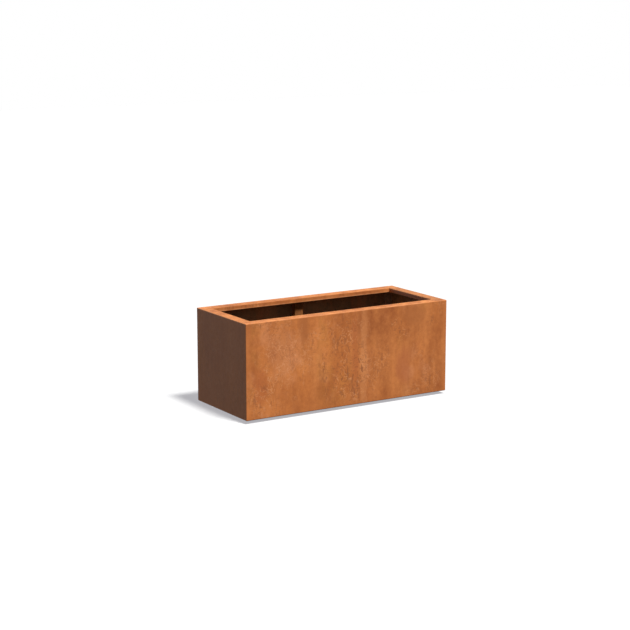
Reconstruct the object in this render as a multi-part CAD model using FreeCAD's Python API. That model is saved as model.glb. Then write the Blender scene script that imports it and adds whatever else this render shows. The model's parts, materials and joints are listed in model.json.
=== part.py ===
import FreeCAD, Part
import math
import os
from FreeCAD import Vector

# Rectangular weathering-steel planter box on levelling feet. All sizes are in millimetres.
# The origin is on the ground under the middle of the box. X runs along the length, Y from
# the front to the back, and Z up. The feet are modelled screwed fully in.

# Overall box
LENGTH = 1200.0
WIDTH = 500.0
HEIGHT = 500.0
GROUND_GAP = 16.0

# Folded sheet panels
SHEET = 2.0
BEND_INSIDE = 2.0
RIM_WIDTH = 55.0
LIP_DEPTH = 22.0
BASE_FLANGE = 30.0
CORNER_RETURN = 50.0
RETURN_CHAMFER = 20.0
CORNER_GRIND = 1.5

# Upright ribs, on one line with the middle bearer, a little left of the middle
RIB_WIDTH = 50.0
RIB_DEPTH = 30.0
FRAME_LINE = -12.0

# Floor
FLOOR_SHEET = 2.0
FLOOR_FIT = 1.0
DRAIN_HOLE = 25.0
DRAIN_FROM_MIDDLE = 240.0
DRAIN_FROM_END = 50.0
DRAIN_FROM_SIDE = 130.0

# Bearers: channels open downwards, standing on the long panels' bottom flanges
BEARER_WIDTH = 60.0
BEARER_SHEET = 3.0
BEARER_FIT = 1.0

# Feet, stacked upwards from the ground
FOOT_FROM_END = 130.0
FOOT_FROM_SIDE = 100.0
FOOT_TRAVEL = 20.0
SOLE_THICKNESS = 3.0
PAD_DIAMETER = 50.0
PAD_HEIGHT = 9.0
PAD_EDGE = 2.5
PAD_HUB_WALL = 5.0
PAD_SOCKET_FLOOR = 2.0
PAD_ROUND = 1.0
SOLE_INSET = 1.0
STUD_DIAMETER = 12.0
STUD_CHAMFER = 1.0
STUD_SPARE = 1.0
COLLAR_STEP = 2.5
COLLAR_HEIGHT = 3.0
DRIVE_WALL = 2.5
DRIVE_HEIGHT = 6.0
STACK_GAP = 0.5
LOCK_NUT_WALL = 3.0
LOCK_NUT_HEIGHT = 6.0
WELD_NUT_WALL = 3.5
WELD_NUT_HEIGHT = 10.0
NUT_CHAMFER = 1.0
FOOT_PLATE_LENGTH = 60.0
FOOT_PLATE_THICKNESS = 5.0
FOOT_PLATE_CLEARANCE = 0.5
RUNNING_CLEARANCE = 0.1

# Sizes that follow from the stud
COLLAR_DIAMETER = STUD_DIAMETER + 2 * COLLAR_STEP
PAD_HUB_DIAMETER = COLLAR_DIAMETER + 2 * PAD_HUB_WALL
DRIVE_FLATS = STUD_DIAMETER + 2 * DRIVE_WALL
LOCK_NUT_FLATS = STUD_DIAMETER + 2 * LOCK_NUT_WALL
WELD_NUT_FLATS = STUD_DIAMETER + 2 * WELD_NUT_WALL
FOOT_PLATE_HOLE = STUD_DIAMETER + 2 * FOOT_PLATE_CLEARANCE

# Levels of the panels
BEND_OUTSIDE = BEND_INSIDE + SHEET
PANEL_BOTTOM = GROUND_GAP
WALL_BOTTOM = PANEL_BOTTOM + BEND_OUTSIDE
WALL_TOP = HEIGHT - BEND_OUTSIDE

# Levels of the feet, from the ground up
PAD_BOTTOM = SOLE_THICKNESS
PAD_TOP = PAD_BOTTOM + PAD_HEIGHT
COLLAR_BOTTOM = PAD_BOTTOM + PAD_SOCKET_FLOOR + RUNNING_CLEARANCE
COLLAR_TOP = COLLAR_BOTTOM + COLLAR_HEIGHT
DRIVE_BOTTOM = PAD_TOP + STACK_GAP
LOCK_NUT_BOTTOM = DRIVE_BOTTOM + DRIVE_HEIGHT + STACK_GAP
FOOT_PLATE_BOTTOM = LOCK_NUT_BOTTOM + LOCK_NUT_HEIGHT
WELD_NUT_BOTTOM = FOOT_PLATE_BOTTOM + FOOT_PLATE_THICKNESS
WELD_NUT_TOP = WELD_NUT_BOTTOM + WELD_NUT_HEIGHT
STUD_TOP = WELD_NUT_TOP + FOOT_TRAVEL + STUD_SPARE

# The bearers are as deep as the retracted studs need, and the floor lies on them
BEARER_BOTTOM = PANEL_BOTTOM + SHEET
BEARER_TOP = STUD_TOP + STACK_GAP + BEARER_SHEET
FLOOR_BOTTOM = BEARER_TOP
FLOOR_TOP = FLOOR_BOTTOM + FLOOR_SHEET

# Places of the feet
FOOT_X = LENGTH / 2 - FOOT_FROM_END
FOOT_Y = WIDTH / 2 - FOOT_FROM_SIDE

PARTS_FOLDER = "parts"
HEXAGON_SIDES = 6
FRONT_TURN = 0.0
RIGHT_TURN = 90.0
BACK_TURN = 180.0
LEFT_TURN = 270.0


def export(node, shape):
    """Write one node's solid to its own STEP file."""
    shape.exportStep(os.path.join(PARTS_FOLDER, node + ".step"))


def corner_trim(before, corner, after, radius):
    """Give the two points where an arc of this radius leaves the sides of a square corner."""
    towards_before = (before - corner).normalize() * radius
    towards_after = (after - corner).normalize() * radius
    return corner + towards_before, corner + towards_after


def bent_line(points, radius):
    """Join the points by straight edges, with every square corner rounded to the radius."""
    edges = []
    start = points[0]
    for before, corner, after in zip(points, points[1:], points[2:]):
        if radius > 0:
            arc_start, arc_end = corner_trim(before, corner, after, radius)
            centre = arc_start + arc_end - corner
            middle = centre + (corner - centre).normalize() * radius
            edges.append(Part.makeLine(start, arc_start))
            edges.append(Part.Arc(arc_start, middle, arc_end).toShape())
            start = arc_end
        else:
            edges.append(Part.makeLine(start, corner))
            start = corner
    edges.append(Part.makeLine(start, points[-1]))
    return edges


def folded_section(outer, inner, outside_radius, inside_radius):
    """Make the face between the outer and inner lines of a sheet that is folded one way."""
    edges = bent_line(outer, outside_radius) + bent_line(inner, inside_radius)
    edges.append(Part.makeLine(outer[0], inner[0]))
    edges.append(Part.makeLine(outer[-1], inner[-1]))
    return Part.Face(Part.Wire(Part.__sortEdges__(edges)))


def polygon_prism(points, height):
    """Extrude a plan outline, given as points at one level, upwards by the height."""
    return Part.Face(Part.makePolygon(points + points[:1])).extrude(Vector(0, 0, height))


def block(low, high):
    """Make a box from its lowest corner to its highest corner."""
    size = high - low
    return Part.makeBox(size.x, size.y, size.z, low)


def ring_of_panel(length):
    """Sweep the wall, rim, lip and bottom flange, and mitre both ends at 45 degrees.

    The outer face is on the plane y = 0, and the sheet folds towards +y.
    """
    left = -length / 2
    outer = [
        Vector(left, BASE_FLANGE, PANEL_BOTTOM),
        Vector(left, 0, PANEL_BOTTOM),
        Vector(left, 0, HEIGHT),
        Vector(left, RIM_WIDTH, HEIGHT),
        Vector(left, RIM_WIDTH, HEIGHT - LIP_DEPTH),
    ]
    inner = [
        Vector(left, BASE_FLANGE, PANEL_BOTTOM + SHEET),
        Vector(left, SHEET, PANEL_BOTTOM + SHEET),
        Vector(left, SHEET, HEIGHT - SHEET),
        Vector(left, RIM_WIDTH - SHEET, HEIGHT - SHEET),
        Vector(left, RIM_WIDTH - SHEET, HEIGHT - LIP_DEPTH),
    ]
    swept = folded_section(outer, inner, BEND_OUTSIDE, BEND_INSIDE).extrude(Vector(length, 0, 0))
    reach = max(RIM_WIDTH, BASE_FLANGE) + SHEET
    mitred_plan = [
        Vector(left, 0, 0),
        Vector(-left, 0, 0),
        Vector(-left - reach, reach, 0),
        Vector(left + reach, reach, 0),
    ]
    return swept.common(polygon_prism(mitred_plan, HEIGHT))


def long_panel():
    """Make a long panel, whose wall covers the end panels' edges at the corners."""
    half = LENGTH / 2
    wall = block(Vector(-half, 0, WALL_BOTTOM), Vector(half, SHEET, WALL_TOP))
    return ring_of_panel(LENGTH).fuse(wall).removeSplitter()


def end_wall():
    """Make an end panel's wall with its two upright returns, as one channel."""
    half = WIDTH / 2 - SHEET
    outer = [
        Vector(-half, CORNER_RETURN, WALL_BOTTOM),
        Vector(-half, 0, WALL_BOTTOM),
        Vector(half, 0, WALL_BOTTOM),
        Vector(half, CORNER_RETURN, WALL_BOTTOM),
    ]
    inner = [
        Vector(-half + SHEET, CORNER_RETURN, WALL_BOTTOM),
        Vector(-half + SHEET, SHEET, WALL_BOTTOM),
        Vector(half - SHEET, SHEET, WALL_BOTTOM),
        Vector(half - SHEET, CORNER_RETURN, WALL_BOTTOM),
    ]
    section = folded_section(outer, inner, 0, BEND_INSIDE)
    wall = section.extrude(Vector(0, 0, WALL_TOP - WALL_BOTTOM))
    for level, direction in ((WALL_TOP, -1), (WALL_BOTTOM, 1)):
        chamfer = Part.makePolygon([
            Vector(-half, CORNER_RETURN, level),
            Vector(-half, CORNER_RETURN - RETURN_CHAMFER, level),
            Vector(-half, CORNER_RETURN, level + direction * RETURN_CHAMFER),
            Vector(-half, CORNER_RETURN, level),
        ])
        wall = wall.cut(Part.Face(chamfer).extrude(Vector(2 * half, 0, 0)))
    return wall


def end_panel():
    """Make an end panel, whose returns lap the inside of both long panels."""
    half = WIDTH / 2
    ring = ring_of_panel(WIDTH)
    for low, high in ((-half, -half + SHEET), (half - SHEET, half)):
        ring = ring.cut(block(Vector(low, 0, WALL_BOTTOM), Vector(high, SHEET, WALL_TOP)))
    return ring.fuse(end_wall()).removeSplitter()


def upright_rib():
    """Make a U-section rib that stands on the floor, open towards the wall behind it."""
    half = RIB_WIDTH / 2
    face = SHEET + RIB_DEPTH
    outer = [
        Vector(-half, SHEET, FLOOR_TOP),
        Vector(-half, face, FLOOR_TOP),
        Vector(half, face, FLOOR_TOP),
        Vector(half, SHEET, FLOOR_TOP),
    ]
    inner = [
        Vector(-half + SHEET, SHEET, FLOOR_TOP),
        Vector(-half + SHEET, face - SHEET, FLOOR_TOP),
        Vector(half - SHEET, face - SHEET, FLOOR_TOP),
        Vector(half - SHEET, SHEET, FLOOR_TOP),
    ]
    section = folded_section(outer, inner, BEND_OUTSIDE, BEND_INSIDE)
    return section.extrude(Vector(0, 0, WALL_TOP - FLOOR_TOP))


def set_against_side(shape, turn, depth, along=0.0):
    """Turn a shape drawn against the plane y = 0 and set it against one side of the box."""
    placed = shape.copy()
    placed.translate(Vector(along, -depth / 2, 0))
    placed.rotate(Vector(0, 0, 0), Vector(0, 0, 1), turn)
    return placed


def ground_corners():
    """Make what grinding takes off the four upright corner edges of the box."""
    corners = []
    for x_side in (-1, 1):
        for y_side in (-1, 1):
            corner = Vector(x_side * LENGTH / 2, y_side * WIDTH / 2, 0)
            centre = corner - Vector(x_side * CORNER_GRIND, y_side * CORNER_GRIND, 0)
            low = Vector(min(corner.x, centre.x), min(corner.y, centre.y), 0)
            high = Vector(max(corner.x, centre.x), max(corner.y, centre.y), HEIGHT)
            kept = Part.makeCylinder(CORNER_GRIND, HEIGHT, centre)
            corners.append(block(low, high).cut(kept))
    return corners


def make_panels():
    """Export the four wall panels."""
    sides = (
        ("front_panel", long_panel(), FRONT_TURN, WIDTH),
        ("back_panel", long_panel(), BACK_TURN, WIDTH),
        ("left_end_panel", end_panel(), LEFT_TURN, LENGTH),
        ("right_end_panel", end_panel(), RIGHT_TURN, LENGTH),
    )
    for node, shape, turn, depth in sides:
        panel = set_against_side(shape, turn, depth)
        for corner in ground_corners():
            panel = panel.cut(corner)
        export(node, panel)


def make_ribs():
    """Export the front and back ribs, both on the frame line."""
    export("front_rib", set_against_side(upright_rib(), FRONT_TURN, WIDTH, FRAME_LINE))
    export("back_rib", set_against_side(upright_rib(), BACK_TURN, WIDTH, -FRAME_LINE))


def make_floor():
    """Export the floor sheet, notched around the corner returns, with its drain holes."""
    half_length = LENGTH / 2 - SHEET - FLOOR_FIT
    half_width = WIDTH / 2 - SHEET - FLOOR_FIT
    between_returns = LENGTH / 2 - CORNER_RETURN - FLOOR_FIT
    inside_returns = half_width - SHEET
    ends = block(
        Vector(-half_length, -inside_returns, FLOOR_BOTTOM), Vector(half_length, inside_returns, FLOOR_TOP)
    )
    upright_edges = [edge for edge in ends.Edges if abs(edge.tangentAt(0).z) == 1]
    ends = ends.makeFillet(BEND_INSIDE, upright_edges)
    middle = block(
        Vector(-between_returns, -half_width, FLOOR_BOTTOM), Vector(between_returns, half_width, FLOOR_TOP)
    )
    floor = ends.fuse(middle).removeSplitter()
    drain_y = WIDTH / 2 - DRAIN_FROM_SIDE
    for x_side in (-1, 1):
        for x in (DRAIN_FROM_MIDDLE, LENGTH / 2 - DRAIN_FROM_END):
            for y in (-drain_y, drain_y):
                place = Vector(x_side * x, y, FLOOR_BOTTOM)
                floor = floor.cut(Part.makeCylinder(DRAIN_HOLE / 2, FLOOR_SHEET, place))
    export("floor_panel", floor)


def make_bearers():
    """Export the channels under the floor."""
    half = BEARER_WIDTH / 2
    start = -(WIDTH / 2 - BEND_OUTSIDE - BEARER_FIT)
    outer = [
        Vector(-half, start, BEARER_BOTTOM),
        Vector(-half, start, BEARER_TOP),
        Vector(half, start, BEARER_TOP),
        Vector(half, start, BEARER_BOTTOM),
    ]
    inner = [
        Vector(-half + BEARER_SHEET, start, BEARER_BOTTOM),
        Vector(-half + BEARER_SHEET, start, BEARER_TOP - BEARER_SHEET),
        Vector(half - BEARER_SHEET, start, BEARER_TOP - BEARER_SHEET),
        Vector(half - BEARER_SHEET, start, BEARER_BOTTOM),
    ]
    section = folded_section(outer, inner, 2 * BEARER_SHEET, BEARER_SHEET)
    bearer = section.extrude(Vector(0, -2 * start, 0))
    for node, x in (("left_bearer", -FOOT_X), ("middle_bearer", FRAME_LINE), ("right_bearer", FOOT_X)):
        placed = bearer.copy()
        placed.translate(Vector(x, 0, 0))
        export(node, placed)


def hexagon(flats, bottom, height):
    """Make a hexagonal bar with its flats this far apart, with two flats facing +x and -x."""
    corner_radius = flats / math.sqrt(3)
    corners = []
    for step in range(HEXAGON_SIDES):
        angle = (2 * step + 1) * math.pi / HEXAGON_SIDES
        corners.append(Vector(corner_radius * math.cos(angle), corner_radius * math.sin(angle), bottom))
    return polygon_prism(corners, height)


def chamfered_round(diameter, bottom, height, chamfer):
    """Make an upright cylinder with both ends chamfered."""
    bar = Part.makeCylinder(diameter / 2, height, Vector(0, 0, bottom))
    ends = [edge for edge in bar.Edges if isinstance(edge.Curve, Part.Circle)]
    return bar.makeChamfer(chamfer, ends)


def nut(flats, bottom, height):
    """Make a hexagonal nut with chamfered corners, bored for the stud with running clearance."""
    rounding = chamfered_round(2 * flats / math.sqrt(3), bottom, height, NUT_CHAMFER)
    bore = Part.makeCylinder(STUD_DIAMETER / 2 + RUNNING_CLEARANCE, height, Vector(0, 0, bottom))
    return hexagon(flats, bottom, height).common(rounding).cut(bore)


def foot_plate():
    """Make the plate that fits between a bearer's legs and carries the weld nut."""
    half_width = BEARER_WIDTH / 2 - BEARER_SHEET
    half_length = FOOT_PLATE_LENGTH / 2
    plate = block(
        Vector(-half_width, -half_length, FOOT_PLATE_BOTTOM), Vector(half_width, half_length, WELD_NUT_BOTTOM)
    )
    place = Vector(0, 0, FOOT_PLATE_BOTTOM)
    return plate.cut(Part.makeCylinder(FOOT_PLATE_HOLE / 2, FOOT_PLATE_THICKNESS, place))


def foot_stud():
    """Make the threaded stud with its drive hexagon and the collar that the pad holds."""
    shank = chamfered_round(STUD_DIAMETER, COLLAR_BOTTOM, STUD_TOP - COLLAR_BOTTOM, STUD_CHAMFER)
    collar = Part.makeCylinder(COLLAR_DIAMETER / 2, COLLAR_HEIGHT, Vector(0, 0, COLLAR_BOTTOM))
    drive = hexagon(DRIVE_FLATS, DRIVE_BOTTOM, DRIVE_HEIGHT)
    return shank.fuse(collar).fuse(drive).removeSplitter()


def turned(points):
    """Turn a closed outline of radius and height points about the upright axis."""
    outline = [Vector(radius, 0, height) for radius, height in points]
    face = Part.Face(Part.makePolygon(outline + outline[:1]))
    return face.revolve(Vector(0, 0, 0), Vector(0, 0, 1), 360)


def foot_pad():
    """Make the round pad, with an undercut socket around the stud's collar."""
    socket = COLLAR_DIAMETER / 2 + RUNNING_CLEARANCE
    throat = STUD_DIAMETER / 2 + RUNNING_CLEARANCE
    hub = PAD_HUB_DIAMETER / 2
    return turned([
        (0, PAD_BOTTOM),
        (PAD_DIAMETER / 2, PAD_BOTTOM),
        (PAD_DIAMETER / 2, PAD_BOTTOM + PAD_EDGE),
        (hub, PAD_TOP - PAD_ROUND),
        (hub - PAD_ROUND, PAD_TOP),
        (throat, PAD_TOP),
        (throat, COLLAR_TOP + RUNNING_CLEARANCE),
        (socket, COLLAR_TOP + RUNNING_CLEARANCE),
        (socket, COLLAR_BOTTOM - RUNNING_CLEARANCE),
        (0, COLLAR_BOTTOM - RUNNING_CLEARANCE),
    ])


def foot_sole():
    """Make the rubber disc under the pad."""
    return chamfered_round(PAD_DIAMETER - 2 * SOLE_INSET, 0, SOLE_THICKNESS, SOLE_INSET)


def make_feet():
    """Export the six pieces of each levelling foot."""
    pieces = {
        "foot_plate": foot_plate(),
        "weld_nut": nut(WELD_NUT_FLATS, WELD_NUT_BOTTOM, WELD_NUT_HEIGHT),
        "lock_nut": nut(LOCK_NUT_FLATS, LOCK_NUT_BOTTOM, LOCK_NUT_HEIGHT),
        "foot_stud": foot_stud(),
        "foot_pad": foot_pad(),
        "foot_sole": foot_sole(),
    }
    for y_name, y in (("front", -FOOT_Y), ("back", FOOT_Y)):
        for x_name, x in (("left", -FOOT_X), ("right", FOOT_X)):
            for piece, shape in pieces.items():
                placed = shape.copy()
                placed.translate(Vector(x, y, 0))
                export(y_name + "_" + x_name + "_" + piece, placed)


os.makedirs(PARTS_FOLDER, exist_ok=True)
make_panels()
make_ribs()
make_floor()
make_bearers()
make_feet()
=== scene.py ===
import json
import math
import random

import bmesh
import bpy
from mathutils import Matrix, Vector


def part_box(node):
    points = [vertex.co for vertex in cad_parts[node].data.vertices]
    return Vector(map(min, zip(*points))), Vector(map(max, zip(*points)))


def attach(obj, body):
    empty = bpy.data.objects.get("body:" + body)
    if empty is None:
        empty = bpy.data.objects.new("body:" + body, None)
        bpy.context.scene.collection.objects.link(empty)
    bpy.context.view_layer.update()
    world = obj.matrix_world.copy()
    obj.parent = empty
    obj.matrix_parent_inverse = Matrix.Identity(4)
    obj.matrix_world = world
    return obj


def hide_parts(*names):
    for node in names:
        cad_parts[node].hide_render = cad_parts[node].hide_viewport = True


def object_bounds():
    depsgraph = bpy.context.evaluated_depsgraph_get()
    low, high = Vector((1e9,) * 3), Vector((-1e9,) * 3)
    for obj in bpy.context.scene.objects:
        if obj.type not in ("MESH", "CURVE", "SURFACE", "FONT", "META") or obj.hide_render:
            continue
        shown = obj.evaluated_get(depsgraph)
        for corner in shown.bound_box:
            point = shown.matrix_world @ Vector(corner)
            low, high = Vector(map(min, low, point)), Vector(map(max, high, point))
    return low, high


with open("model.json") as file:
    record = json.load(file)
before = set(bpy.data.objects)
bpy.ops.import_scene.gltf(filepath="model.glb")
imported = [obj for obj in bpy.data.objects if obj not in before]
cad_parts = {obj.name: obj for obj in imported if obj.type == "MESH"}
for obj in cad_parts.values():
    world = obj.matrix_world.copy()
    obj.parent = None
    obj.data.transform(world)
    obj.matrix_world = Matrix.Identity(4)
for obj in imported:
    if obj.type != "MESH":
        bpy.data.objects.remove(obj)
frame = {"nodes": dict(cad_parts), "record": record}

cad_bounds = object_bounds()

# Camera: the place, aim and lens of the product view, from the front left and a little above
CAMERA_PLACE = (-4.4943, -7.0959, 2.0981)
CAMERA_PITCH = 11.165
CAMERA_YAW = -32.060
CAMERA_LENS = 95.25

# Studio: a soft key from above the front edge, a glaze from behind that gives only sheen, and a white
# surround that is weaker where it lights than where it is seen
KEY_TOWARDS = (0.09, -0.46, 1.0)
KEY_STRENGTH = 6.2
KEY_ANGLE = 10.0
GLAZE_TOWARDS = (-0.50, 0.80, 0.30)
GLAZE_STRENGTH = 1.8
GLAZE_ANGLE = 60.0
SURROUND_SEEN = 1.0
SURROUND_FILL = 0.10
SURROUND_GLOSS = 0.7
FLOOR_SIZE = 40.0
FLOOR_COLOUR = (0.34, 0.34, 0.33)
FLOOR_GLOW = (0.42, 0.42, 0.445)

# Sizes of the box that the weathering and the welds follow
SHEET = 0.002
RIM = 0.055
LIP = 0.022
CORNER_RETURN = 0.050
HALF_LENGTH = cad_bounds[1].x
HALF_WIDTH = cad_bounds[1].y
HEIGHT = cad_bounds[1].z
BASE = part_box("front_panel")[0].z
FLOOR_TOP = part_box("floor_panel")[1].z
MOUTH_HALF_LENGTH = HALF_LENGTH - RIM
MOUTH_HALF_WIDTH = HALF_WIDTH - RIM
LIP_BOTTOM = HEIGHT - LIP

# Rust on the weather side and on the rim, with how far each channel follows the tones
RUST_BASE = (0.475, 0.148, 0.032)
RUST_ORANGE = (0.520, 0.158, 0.034)
RUST_BROWN = (0.420, 0.120, 0.021)
RUST_OLIVE = (0.405, 0.132, 0.022)
RUST_PINK = (0.525, 0.182, 0.060)
RUST_PALE = (0.660, 0.275, 0.110)
RUST_DARK = (0.21, 0.062, 0.016)
# The left end's colour: painted shade, evener and darker than the rust in the light
RUST_SHADED_END = (0.400, 0.128, 0.030)
# The rim's colours are painted darker than the walls', as painted shade that takes back the key's
# stronger light on the top faces
RIM_SHADED_BASE = (0.385, 0.126, 0.028)
RIM_DULL = (0.315, 0.107, 0.026)
RUST_TINT = (1.0, 1.35, 1.90)

# Rust on the panels' soil side, then on the floor and framing with their sheen, and the floor's silt
INNER_BASE = (0.345, 0.182, 0.080)
INNER_DARK = (0.228, 0.118, 0.052)
INNER_WARM = (0.420, 0.175, 0.066)
INNER_PALE = (0.480, 0.320, 0.210)
FRAME_BASE = (0.345, 0.132, 0.028)
FRAME_DARK = (0.225, 0.081, 0.021)
FRAME_WARM = (0.410, 0.138, 0.030)
FRAME_PALE = (0.330, 0.130, 0.036)
FRAME_SHEEN = 0.2
SILT = (0.120, 0.070, 0.040)

# Welds, fasteners and feet
WELD_SKIN = (0.105, 0.060, 0.045)
WELD_RUST = (0.30, 0.10, 0.032)
WELD_METALLIC = 0.25
WELD_ROUGHNESS = (0.42, 0.75)
STEEL = (0.30, 0.28, 0.26)
STEEL_RUST = (0.30, 0.11, 0.04)
STEEL_ROUGHNESS = 0.40
ZINC = (0.62, 0.62, 0.60)
ZINC_BLOOM = (0.50, 0.50, 0.48)
ZINC_ROUGHNESS = 0.28
BLOOM_METALLIC = 0.3
BLOOM_ROUGHENS = 0.35
POLYAMIDE = (0.020, 0.020, 0.021)
POLYAMIDE_DUST = (0.10, 0.085, 0.07)
POLYAMIDE_ROUGHNESS = 0.42
RUBBER = (0.013, 0.013, 0.013)
RUBBER_DUST = (0.09, 0.08, 0.07)
RUBBER_ROUGHNESS = 0.70
DUST_ROUGHENS = 0.25

# A noise field is its features to the metre, detail, roughness, upright stretch and shift.
# Tones are noise fields that lighten and darken a colour, each with its strength
RUST_TONES = (
    ((3.0, 2, 0.5, 0.70, 2.2), 0.34),
    ((11.0, 2, 0.5, 0.45, 4.4), 0.34),
    ((24.0, 2, 0.5, 0.16, 6.1), 0.20),
    ((48.0, 3, 0.6, 0.80, 8.3), 0.26),
    ((120.0, 3, 0.6, 0.80, 1.1), 0.11),
    ((420.0, 2, 0.5, 1.00, 5.2), 0.07),
)
RIM_TONES = (
    ((8.0, 2, 0.60, 1.0, 24.0), 0.60),
    ((22.0, 3, 0.60, 1.0, 25.0), 0.60),
    ((90.0, 3, 0.65, 1.0, 26.0), 0.35),
)
INNER_TONES = (
    ((13.0, 2, 0.5, 0.5, 41.0), 0.30),
    ((60.0, 3, 0.6, 0.8, 43.0), 0.35),
    ((260.0, 2, 0.6, 1.0, 45.0), 0.30),
)
DIRT_TONES = (
    ((40.0, 3, 0.6, 1.0, 30.0), 0.40),
    ((180.0, 3, 0.6, 1.0, 32.0), 0.45),
)
WELD_TONES = (((500.0, 2, 0.5, 1.0, 63.0), 0.5),)
STEEL_TONES = (
    ((320.0, 3, 0.6, 1.0, 71.0), 0.5),
    ((60.0, 2, 0.5, 1.0, 75.0), 0.3),
)
MOULDED_TONES = (((700.0, 2, 0.5, 1.0, 83.0), 0.6),)

# A mask is a noise field, the noise where its marks start and where they are full, and its least and
# greatest strength. Blotches are masks with colours
RUST_BLOTCHES = (
    (((4.0, 3, 0.55, 0.6, 0.0), 0.40, 0.60, 0, 1.0), RUST_BASE),
    (((5.5, 2, 0.50, 0.6, 3.1), 0.52, 0.68, 0, 0.5), RUST_ORANGE),
    (((7.0, 3, 0.55, 0.7, 7.7), 0.52, 0.68, 0, 0.7), RUST_PINK),
    (((8.0, 3, 0.55, 0.5, 9.4), 0.56, 0.70, 0, 0.6), RUST_OLIVE),
    (((16.0, 3, 0.60, 0.1, 1.7), 0.52, 0.72, 0, 0.4), RUST_ORANGE),
    (((16.0, 3, 0.60, 0.1, 1.7), 0.46, 0.28, 0, 0.4), RUST_BROWN),
)
CLUSTER_MASK = ((5.0, 2, 0.5, 0.7, 12.0), 0.48, 0.64, 0, 0.6)
DASH_MASK = ((70.0, 1, 0.5, 0.35, 3.3), 0.62, 0.67, 0, 1)
LEVEL_MASK = ((44.0, 1, 0.5, 2.4, 6.6), 0.62, 0.67, 0, 1)
FLECK_MASK = ((48.0, 3, 0.6, 1.0, 27.0), 0.58, 0.70, 0, 0.50)
UNEVEN_MASK = ((14.0, 2, 0.5, 0.4, 21.0), 0.35, 0.65, 0.35, 1.0)
# The next mask breaks up the painted highlights on the bends and lip edges, as wear
HIGHLIGHT_WEAR_MASK = ((30.0, 2, 0.5, 1.0, 17.0), 0.35, 0.65, 0.3, 0.9)
BOTTOM_DARKENING_MASK = ((20.0, 2, 0.5, 1.0, 19.0), 0.3, 0.7, 0.2, 0.6)
MITRE_MASK = ((90.0, 2, 0.5, 1.0, 23.0), 0.3, 0.7, 0.25, 0.7)
SOIL_MASK = ((6.0, 3, 0.55, 0.7, 31.0), 0.38, 0.62, 0, 1)
WARM_MASK = ((9.0, 3, 0.60, 0.5, 33.0), 0.52, 0.66, 0, 0.7)
RUN_MASK = ((20.0, 2, 0.50, 0.06, 35.0), 0.58, 0.72, 0, 0.5)
BLOOM_MASK = ((55.0, 3, 0.65, 1.0, 39.0), 0.60, 0.72, 0, 0.20)
BARE_MASK = ((9.0, 4, 0.65, 1.0, 29.0), 0.35, 0.72, 0, 0.60)
WELD_RUST_MASK = ((160.0, 3, 0.6, 1.0, 61.0), 0.40, 0.60, 0, 1)
STEEL_BLOOM_MASK = ((140.0, 3, 0.65, 1.0, 73.0), 0.56, 0.70, 0, 0.75)
DUST_MASK = ((90.0, 3, 0.6, 1.0, 81.0), 0.48, 0.68, 0, 0.5)

# Worm tracks: tracks to the metre, width in noise, shift and the share of them that shows, then what
# both kinds have in common: their own noise, and the noise that breaks them up
PALE_TRACKS = (40, 0.040, 8.5, 0.55)
DARK_TRACKS = (46, 0.045, 2.5, 0.55)
TRACK_DETAIL = 1
TRACK_STRETCH = 0.8
TRACK_CURL = 0.6
TRACK_CORE = 0.3
BREAK_SCALE = 0.55
BREAK_STRETCH = 0.6
BREAK_SHIFT = 5
BREAK_EDGE = 0.08

# The value that every noise varies about
NOISE_MIDDLE = 0.5

# Strength of each mark on the weather side
PALE_TRACK_STRENGTH = 0.66
DARK_TRACKS_IN_CLUSTERS = 0.42
DARK_TRACKS_IN_PALE = 0.30
DASH_STRENGTH = 0.58
LEVEL_STRENGTH = 0.50
# How far the left end is painted evener and darker, as painted shade
END_SHADE_STRENGTH = 0.55
# Corners, bends and lip edges: painted highlights, patchy with wear
CORNER_WEAR_AND_HIGHLIGHT = 0.75
BEND_WEAR_AND_HIGHLIGHT = 0.30
LIP_WEAR_AND_HIGHLIGHT = 0.65

# Soft marks on the front face, each at x and z with a half width and a half height, then for a stain
# its colour and strength. Their outline wanders with a noise field, and fades between two distances
PALE_SPECKLED = (-0.37, 0.27, 0.17, 0.17)
SPECKLED = ((-0.03, 0.22, 0.17, 0.24), (0.30, 0.38, 0.06, 0.06))
STAINS = (
    (-0.270, 0.440, 0.034, 0.110, (0.370, 0.108, 0.022), 0.75),
    (0.085, 0.300, 0.022, 0.300, (0.600, 0.222, 0.070), 0.65),
    (0.030, 0.300, 0.020, 0.200, (0.420, 0.112, 0.024), 0.60),
    (0.330, 0.190, 0.050, 0.090, (0.410, 0.112, 0.030), 0.60),
    (0.400, 0.440, 0.080, 0.050, (0.400, 0.122, 0.026), 0.60),
    (-0.170, 0.090, 0.040, 0.080, (0.370, 0.110, 0.016), 0.60),
    (-0.470, 0.060, 0.070, 0.060, (0.600, 0.190, 0.040), 0.60),
    (-0.520, 0.180, 0.040, 0.090, (0.420, 0.106, 0.022), 0.60),
    (-0.400, 0.330, 0.080, 0.130, (0.540, 0.195, 0.070), 0.50),
)
PATCH_FIELD = (14.0, 4, 0.65, 0.5, 14.0)
PATCH_WANDER = 4.0
PATCH_FADE = (1.6, -0.2)

# Bands beside an edge or a face: how far in from it the band starts and where it is full. Below 0 the
# band lies beyond it
CORNER_BAND = (0.040, 0.004)
OUTER_BAND = (0.006, 0.001)
BEND_BAND = (0.007, 0.002)
RIM_BAND = (0.0030, 0.0005)
RIM_DULL_BAND = (0.115, 0.020)
LEFT_END_BAND = (-0.002, -0.001)
LIP_EDGE_BAND = (-0.007, -0.003)
LIP_FACE_BAND = (-0.0013, -0.0007)
LIP_FOOT_BAND = (0.002, 0.001)
BOTTOM_DARKENING_BAND = (-0.035, 0.0)
WEATHER_BAND = (0.0015, 0.0010)
BASE_BAND = (-0.0015, -0.0010)
MITRE_TOP_BAND = (0.003, 0.001)
MITRE_END_BAND = (0.002, 0.0)
MITRE_SEAM = (0.0022, 0.0006)

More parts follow.
